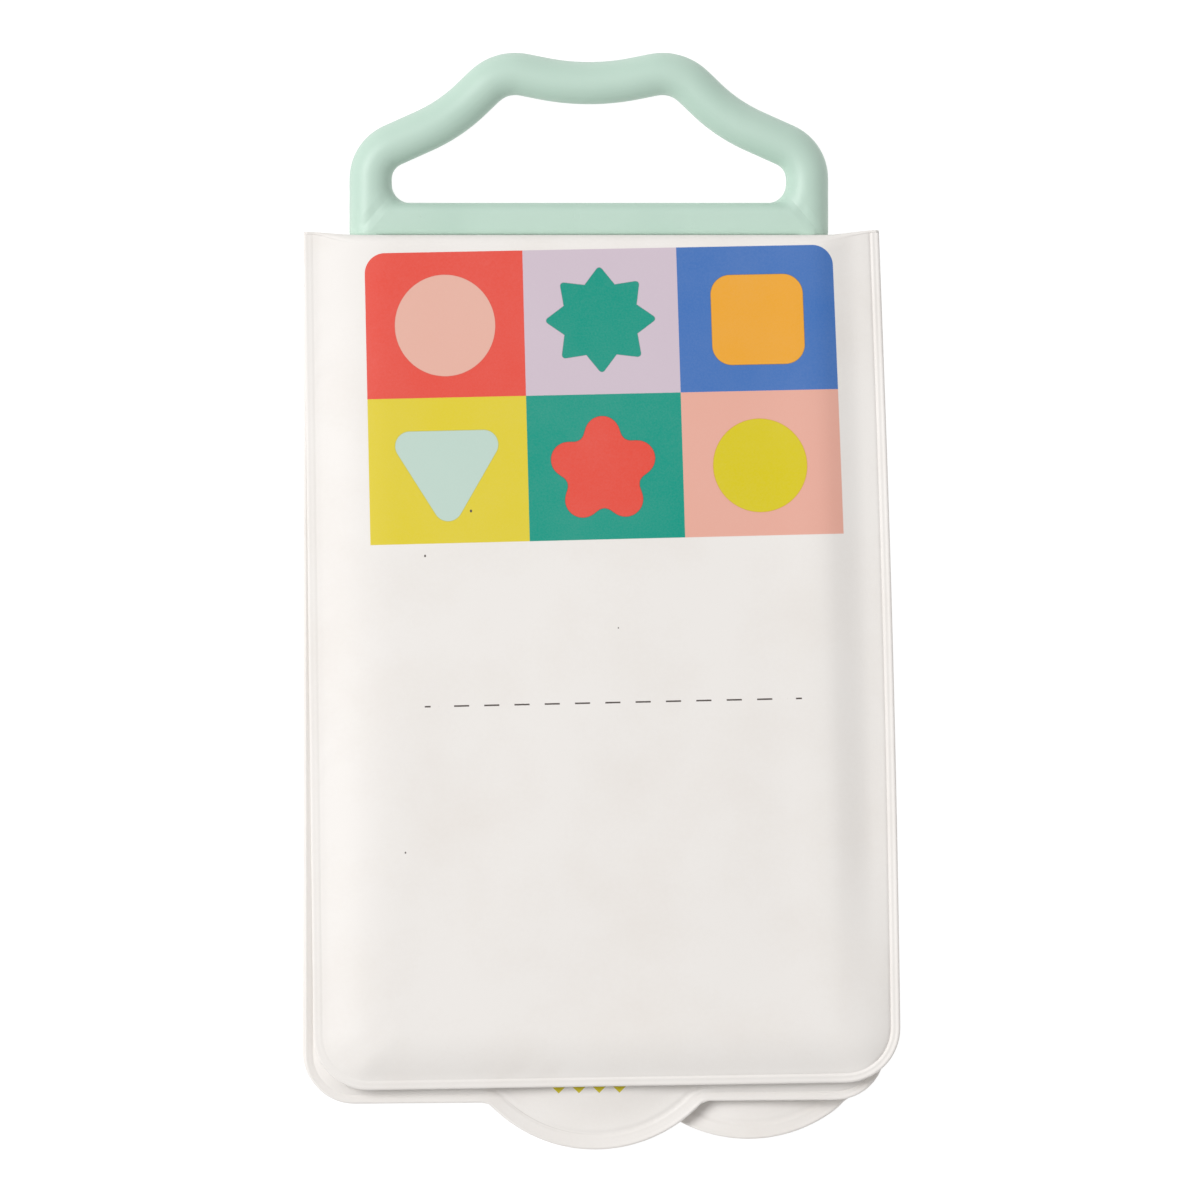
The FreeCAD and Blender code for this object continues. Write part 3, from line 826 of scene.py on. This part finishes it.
lowerLeaf = {
    **leafShape, "lean": 0.4 * mm, "askew": 0.2 * mm, "middle": leafLow.z + leafHalf,
    "curl": (1.9 * mm, 14 * mm),
    "tab": {**tabShape, "shift": 42.2 * mm, "reach": 10.3 * mm, "press": 2.5, "lift": 3.2 * mm},
    "pucker": {**leafShape["pucker"], "seed": 9},
}

for name, pad, material, node, body, slot in (
        ("back_cover_pad", backCover, printPaint, "back_cover", "back_cover", "cover_skin"),
        ("front_cover_pad", frontCover, vinylPaint, "front_cover", "front_cover", "cover_skin"),
        ("upper_leaf_pad", upperLeaf, leafPaint, "pages", "book_block", "page_skin"),
        ("lower_leaf_pad", lowerLeaf, vinylPaint, "pages", "book_block", "page_skin")):
    piece = makePad(name, pad, material)
    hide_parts(node)
    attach(piece, body)


# The bound root between the leaves, the spine's skin and its two folds

def roundedProfile(halfY, halfZ, corner, innerCorner=None, perCorner=7):
    # a rectangle with rounded corners in the plane across the book, as a closed row of points; the
    # two corners towards the book can have a radius of their own
    angles = np.concatenate([np.linspace(0, 0.5, perCorner) + quarter / 2 for quarter in range(4)]) * np.pi
    signs = np.repeat(np.array([[1, 1], [-1, 1], [-1, -1], [1, -1]]), perCorner, axis=0)
    corner = np.where(signs[:, 0] > 0, corner, corner if innerCorner is None else innerCorner)
    y = signs[:, 0] * (halfY - corner) + corner * np.cos(angles)
    z = signs[:, 1] * (halfZ - corner) + corner * np.sin(angles)
    return y, z


def makeStrip(name, left, right, low, high, corner, material):
    # a rounded profile carried from left to right, narrowing to a point at each closed end; low and
    # high are its corners, in y and z
    halfY, halfZ = (high[0] - low[0]) / 2, (high[1] - low[1]) / 2
    y, z = roundedProfile(halfY, halfZ, corner)
    turn = np.linspace(0, np.pi / 2, 5)
    inset = corner * (1 - np.sin(turn))           # the ends are rounded like the long edges
    endways = corner * (1 - np.cos(turn))
    x = np.concatenate([[left], left + endways, right - endways[::-1], [right]])
    inset = np.concatenate([[np.inf], inset, inset[::-1], [np.inf]])[:, None]
    points = np.stack([
        np.broadcast_to(x[:, None], (len(x), len(y))),
        (low[0] + high[0]) / 2 + y * np.maximum(1 - inset / halfY, 0),
        (low[1] + high[1]) / 2 + z * np.maximum(1 - inset / halfZ, 0)], -1)
    mesh = gridMesh(name, points, wrap=True)
    closeSeams(mesh)
    return addPiece(name, mesh, material)


spineLow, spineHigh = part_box("spine")
binding = {
    "rootDepth": 15 * mm, "rootInset": 6.5 * mm, "rootGap": (0.05 * mm, 0.4 * mm), "rootCorner": 3.0 * mm,
    "stripGap": 0.1 * mm, "stripCorner": 0.5 * mm,
    "foldStart": 1.6 * mm, "foldStand": 0.12 * mm, "foldDip": 0.15 * mm, "foldWall": 0.35 * mm,
    "foldInset": 0.4 * mm, "dipFrom": 1.0, "dipSpan": 0.57,      # the dip's angles along the quarter turn
}
gapY, gapZ = binding["rootGap"]
root = makeStrip("bound_root", spineLow.x + binding["rootInset"], spineHigh.x - binding["rootInset"],
                 (spineFace - binding["rootDepth"], leafLow.z + gapZ),
                 (spineLow.y - gapY, leafHigh.z - gapZ), binding["rootCorner"], vinylPaint)
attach(root, "book_block")
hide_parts("pages")

strip = makeStrip("spine_skin", spineLow.x, spineHigh.x, (spineLow.y, spineLow.z + binding["stripGap"]),
                  (spineFace, spineHigh.z - binding["stripGap"]), binding["stripCorner"], vinylPaint)
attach(strip, "book_block")
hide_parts("spine")


def makeFold(name, pad, sign):
    # The skin that runs from the spine over a cover's rounded end. Its line goes straight up the
    # spine to the cover's middle level, then follows a quarter turn of the cover's own fold, and
    # dips under the cover's skin where it ends.
    share = np.concatenate([np.linspace(0, 0.1, 20)[:-1], np.linspace(0.1, 0.9, 60),
                            np.linspace(0.9, 1, 20)[1:]])
    across = binding["foldInset"] + share * (pad["width"] - 2 * binding["foldInset"])
    half, ear = foldHalf(pad, across)
    start = spineHigh.z - binding["foldStart"] if sign > 0 else spineLow.z + binding["foldStart"]
    stand = binding["foldStand"]
    climb = np.linspace(0, 1, 9)[:, None]
    straightY = np.broadcast_to(pad["length"] + ear + stand, (9, len(across)))
    straightZ = np.broadcast_to(start + climb * (pad["middle"] - start), straightY.shape)
    depthAtStart = pad["length"] + stand
    straightY = depthAtStart + (straightY - depthAtStart) * ease(climb)
    turns = np.linspace(0, np.pi / 2, 12)[1:, None]
    lift = stand * np.cos(turns) - binding["foldDip"] * ease((turns - binding["dipFrom"]) / binding["dipSpan"])
    radius = half + lift
    curveY = pad["length"] + ear - half + radius * np.cos(turns)
    curveZ = pad["middle"] + sign * radius * np.sin(turns)
    depth = np.concatenate([straightY, curveY])
    z = np.concatenate([straightZ, curveZ])
    x, y = panelPlace(pad, np.broadcast_to(across, depth.shape), depth)
    mesh = gridMesh(name, np.stack([x, y, z], -1))
    closeSeams(mesh)
    piece = addPiece(name, mesh, vinylPaint)
    wall = piece.modifiers.new("wall", "SOLIDIFY")
    wall.thickness, wall.offset = binding["foldWall"], -1.0
    bakeModifiers(piece)
    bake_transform(piece)


makeFold("back_fold", backCover, 1)
makeFold("front_fold", frontCover, -1)
print("spine and folds made")


# The handle: tubes along their routes and a rounded bar, grown into one moulding

handle = {
    "rod": 5.8 * mm, "leg": 59.5 * mm, "elbowHeight": 22.1 * mm, "elbow": 10 * mm,
    "waist": (37.8 * mm, 31.8 * mm, 45 * mm), "crest": (23.9 * mm, 45.2 * mm, 12 * mm),
    "dip": (40.4 * mm, 64 * mm), "bar": 9.0 * mm, "barRound": 2.8 * mm, "footRound": 1.2 * mm,
    "mitre": (55.8 * mm, 61.4 * mm), "mitreSlope": 0.88,      # the bar's ends are cut askew against the legs
    "gripCorner": 5.0 * mm, "turnFrom": (15.5 * mm, 30 * mm), "step": 0.8 * mm,
    "voxel": 0.5 * mm, "smoothing": 4,
}


def roundedRoute(corners, step):
    # straight runs through the corners, each with an arc of its own radius
    points = np.array([c[:2] for c in corners], float)
    route = [points[0]]
    for i in range(1, len(points) - 1):
        back, ahead = points[i - 1] - points[i], points[i + 1] - points[i]
        back, ahead = back / np.linalg.norm(back), ahead / np.linalg.norm(ahead)
        half = math.acos(np.clip(back @ ahead, -1, 1)) / 2
        radius = corners[i][2]
        entry, leave = (points[i] + way * radius / math.tan(half) for way in (back, ahead))
        bisector = (back + ahead) / np.linalg.norm(back + ahead)
        centre = points[i] + bisector * radius / math.sin(half)
        sweep = math.pi - 2 * half
        share = np.linspace(0, 1, max(6, math.ceil(sweep * radius / step)))[:, None]
        a, b = (entry - centre) / radius, (leave - centre) / radius
        arc = (np.sin((1 - share) * sweep) * a + np.sin(share * sweep) * b) / math.sin(sweep)
        route.extend(centre + radius * arc)
    route.append(points[-1])
    route = np.array(route)
    length = np.concatenate([[0], np.cumsum(np.linalg.norm(np.diff(route, axis=0), axis=1))])
    even = np.linspace(0, length[-1], math.ceil(length[-1] / step))
    return np.stack([np.interp(even, length, route[:, 0]), np.interp(even, length, route[:, 1])], -1)


def tubePoints(route, radius, level, sides=40):
    # circles across the route, closed to a point at each end
    heading = np.gradient(route, axis=0)
    heading /= np.linalg.norm(heading, axis=1)[:, None]
    across = np.stack([heading[:, 1], -heading[:, 0]], -1)
    angles = np.linspace(0, 2 * np.pi, sides, endpoint=False)
    radius = np.broadcast_to(radius, len(route)).copy()
    route = np.vstack([route[:1], route, route[-1:]])
    across = np.vstack([across[:1], across, across[-1:]])
    radius = np.concatenate([[0], radius, [0]])[:, None]
    x = route[:, :1] + across[:, :1] * radius * np.cos(angles)
    y = spineFace + route[:, 1:] + across[:, 1:] * radius * np.cos(angles)
    z = level + radius * np.sin(angles) + 0 * x
    return np.stack([x, np.maximum(y, spineFace), z], -1)


def makeHandle():
    level, leg = middleOf("handle"), handle["leg"]
    right = [(leg, 0), (leg, handle["elbowHeight"], handle["elbow"]), handle["waist"], handle["crest"]]
    left = [(-c[0], *c[1:]) for c in right]
    arch = roundedRoute(left + [(0, *handle["dip"])] + right[::-1], handle["step"])
    parts = [tubePoints(arch, handle["rod"], level)]
    barLine = handle["bar"] - handle["rod"]
    height, inward = handle["turnFrom"]
    turnRadius = handle["rod"] + handle["gripCorner"]
    for sign in (-1, 1):
        turn = roundedRoute([(sign * leg, height), (sign * leg, barLine, turnRadius),
                             (sign * inward, barLine)], handle["step"])
        parts.append(tubePoints(turn, handle["rod"], level))
    y, z = roundedProfile(handle["bar"] / 2, handle["rod"], handle["barRound"], handle["footRound"])
    end = np.minimum(handle["mitre"][1], handle["mitre"][0] + (handle["bar"] / 2 - y) * handle["mitreSlope"])
    x = np.stack([-end, -end, end, end])
    x[[0, -1]] = x[[0, -1]].mean(axis=1)[:, None]
    size = np.array([0.0, 1, 1, 0])[:, None]
    parts.append(np.stack([x, spineFace + handle["bar"] / 2 + size * y, level + size * z], -1))
    work = bmesh.new()
    for points in parts:
        mesh = gridMesh("handle_part", points, wrap=True)
        closeSeams(mesh)
        work.from_mesh(mesh)
    whole = bpy.data.meshes.new("carry_handle")
    work.to_mesh(whole)
    work.free()
    piece = addPiece("carry_handle", whole, rubberPaint)
    grow = piece.modifiers.new("grow", "REMESH")
    grow.mode, grow.voxel_size, grow.use_smooth_shade = "VOXEL", handle["voxel"], True
    soften = piece.modifiers.new("soften", "SMOOTH")
    soften.factor, soften.iterations = 0.5, handle["smoothing"]
    bakeModifiers(piece)
    piece.data.materials.clear()
    piece.data.materials.append(rubberPaint)
    piece.data.polygons.foreach_set("use_smooth", [True] * len(piece.data.polygons))
    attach(piece, "book_block")
    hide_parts("handle")
    print("handle grown with", len(piece.data.polygons), "faces")


makeHandle()


# Floor and surroundings

def makeFloor():
    half = studio["floorSize"] / 2
    edge = np.array([-half, half])
    x, y = np.meshgrid(edge, edge)
    mesh = gridMesh("floor", np.stack([x, y, np.full_like(x, -studio["floorDrop"])], -1))
    paint = Paint("paper_floor")
    place = paint.node("TexCoord", {}, {}, "Object")
    fibre = paint.noise(place, 500.0, 2.0)
    color = paint.mix(fibre * 0.2, linear(studio["floorColor"]), studio["fibreTone"])
    material = paint.finish(color, 0.9, Emission_Color=(1, 1, 1, 1), Emission_Strength=studio["floorGlow"],
                            Specular_IOR_Level=0.1)
    addPiece("floor", mesh, material)


def makeSky():
    # white surroundings, dimmer at the horizon than overhead
    world = bpy.data.worlds.new("studio")
    bpy.context.scene.world = world
    world.use_nodes = True
    nodes, links = world.node_tree.nodes, world.node_tree.links
    nodes.clear()
    place = nodes.new("ShaderNodeTexCoord")
    split = nodes.new("ShaderNodeSeparateXYZ")
    span = nodes.new("ShaderNodeMapRange")
    span.inputs["From Min"].default_value, span.inputs["From Max"].default_value = studio["skySpan"]
    span.inputs["To Min"].default_value = studio["skyLow"]
    span.inputs["To Max"].default_value = studio["skyHigh"]
    glow = nodes.new("ShaderNodeBackground")
    glow.inputs["Color"].default_value = (1, 1, 1, 1)
    out = nodes.new("ShaderNodeOutputWorld")
    links.new(place.outputs["Generated"], split.inputs[0])
    links.new(split.outputs["Z"], span.inputs["Value"])
    links.new(span.outputs["Result"], glow.inputs["Strength"])
    links.new(glow.outputs[0], out.inputs[0])


makeFloor()
makeSky()
print("floor and surroundings made")
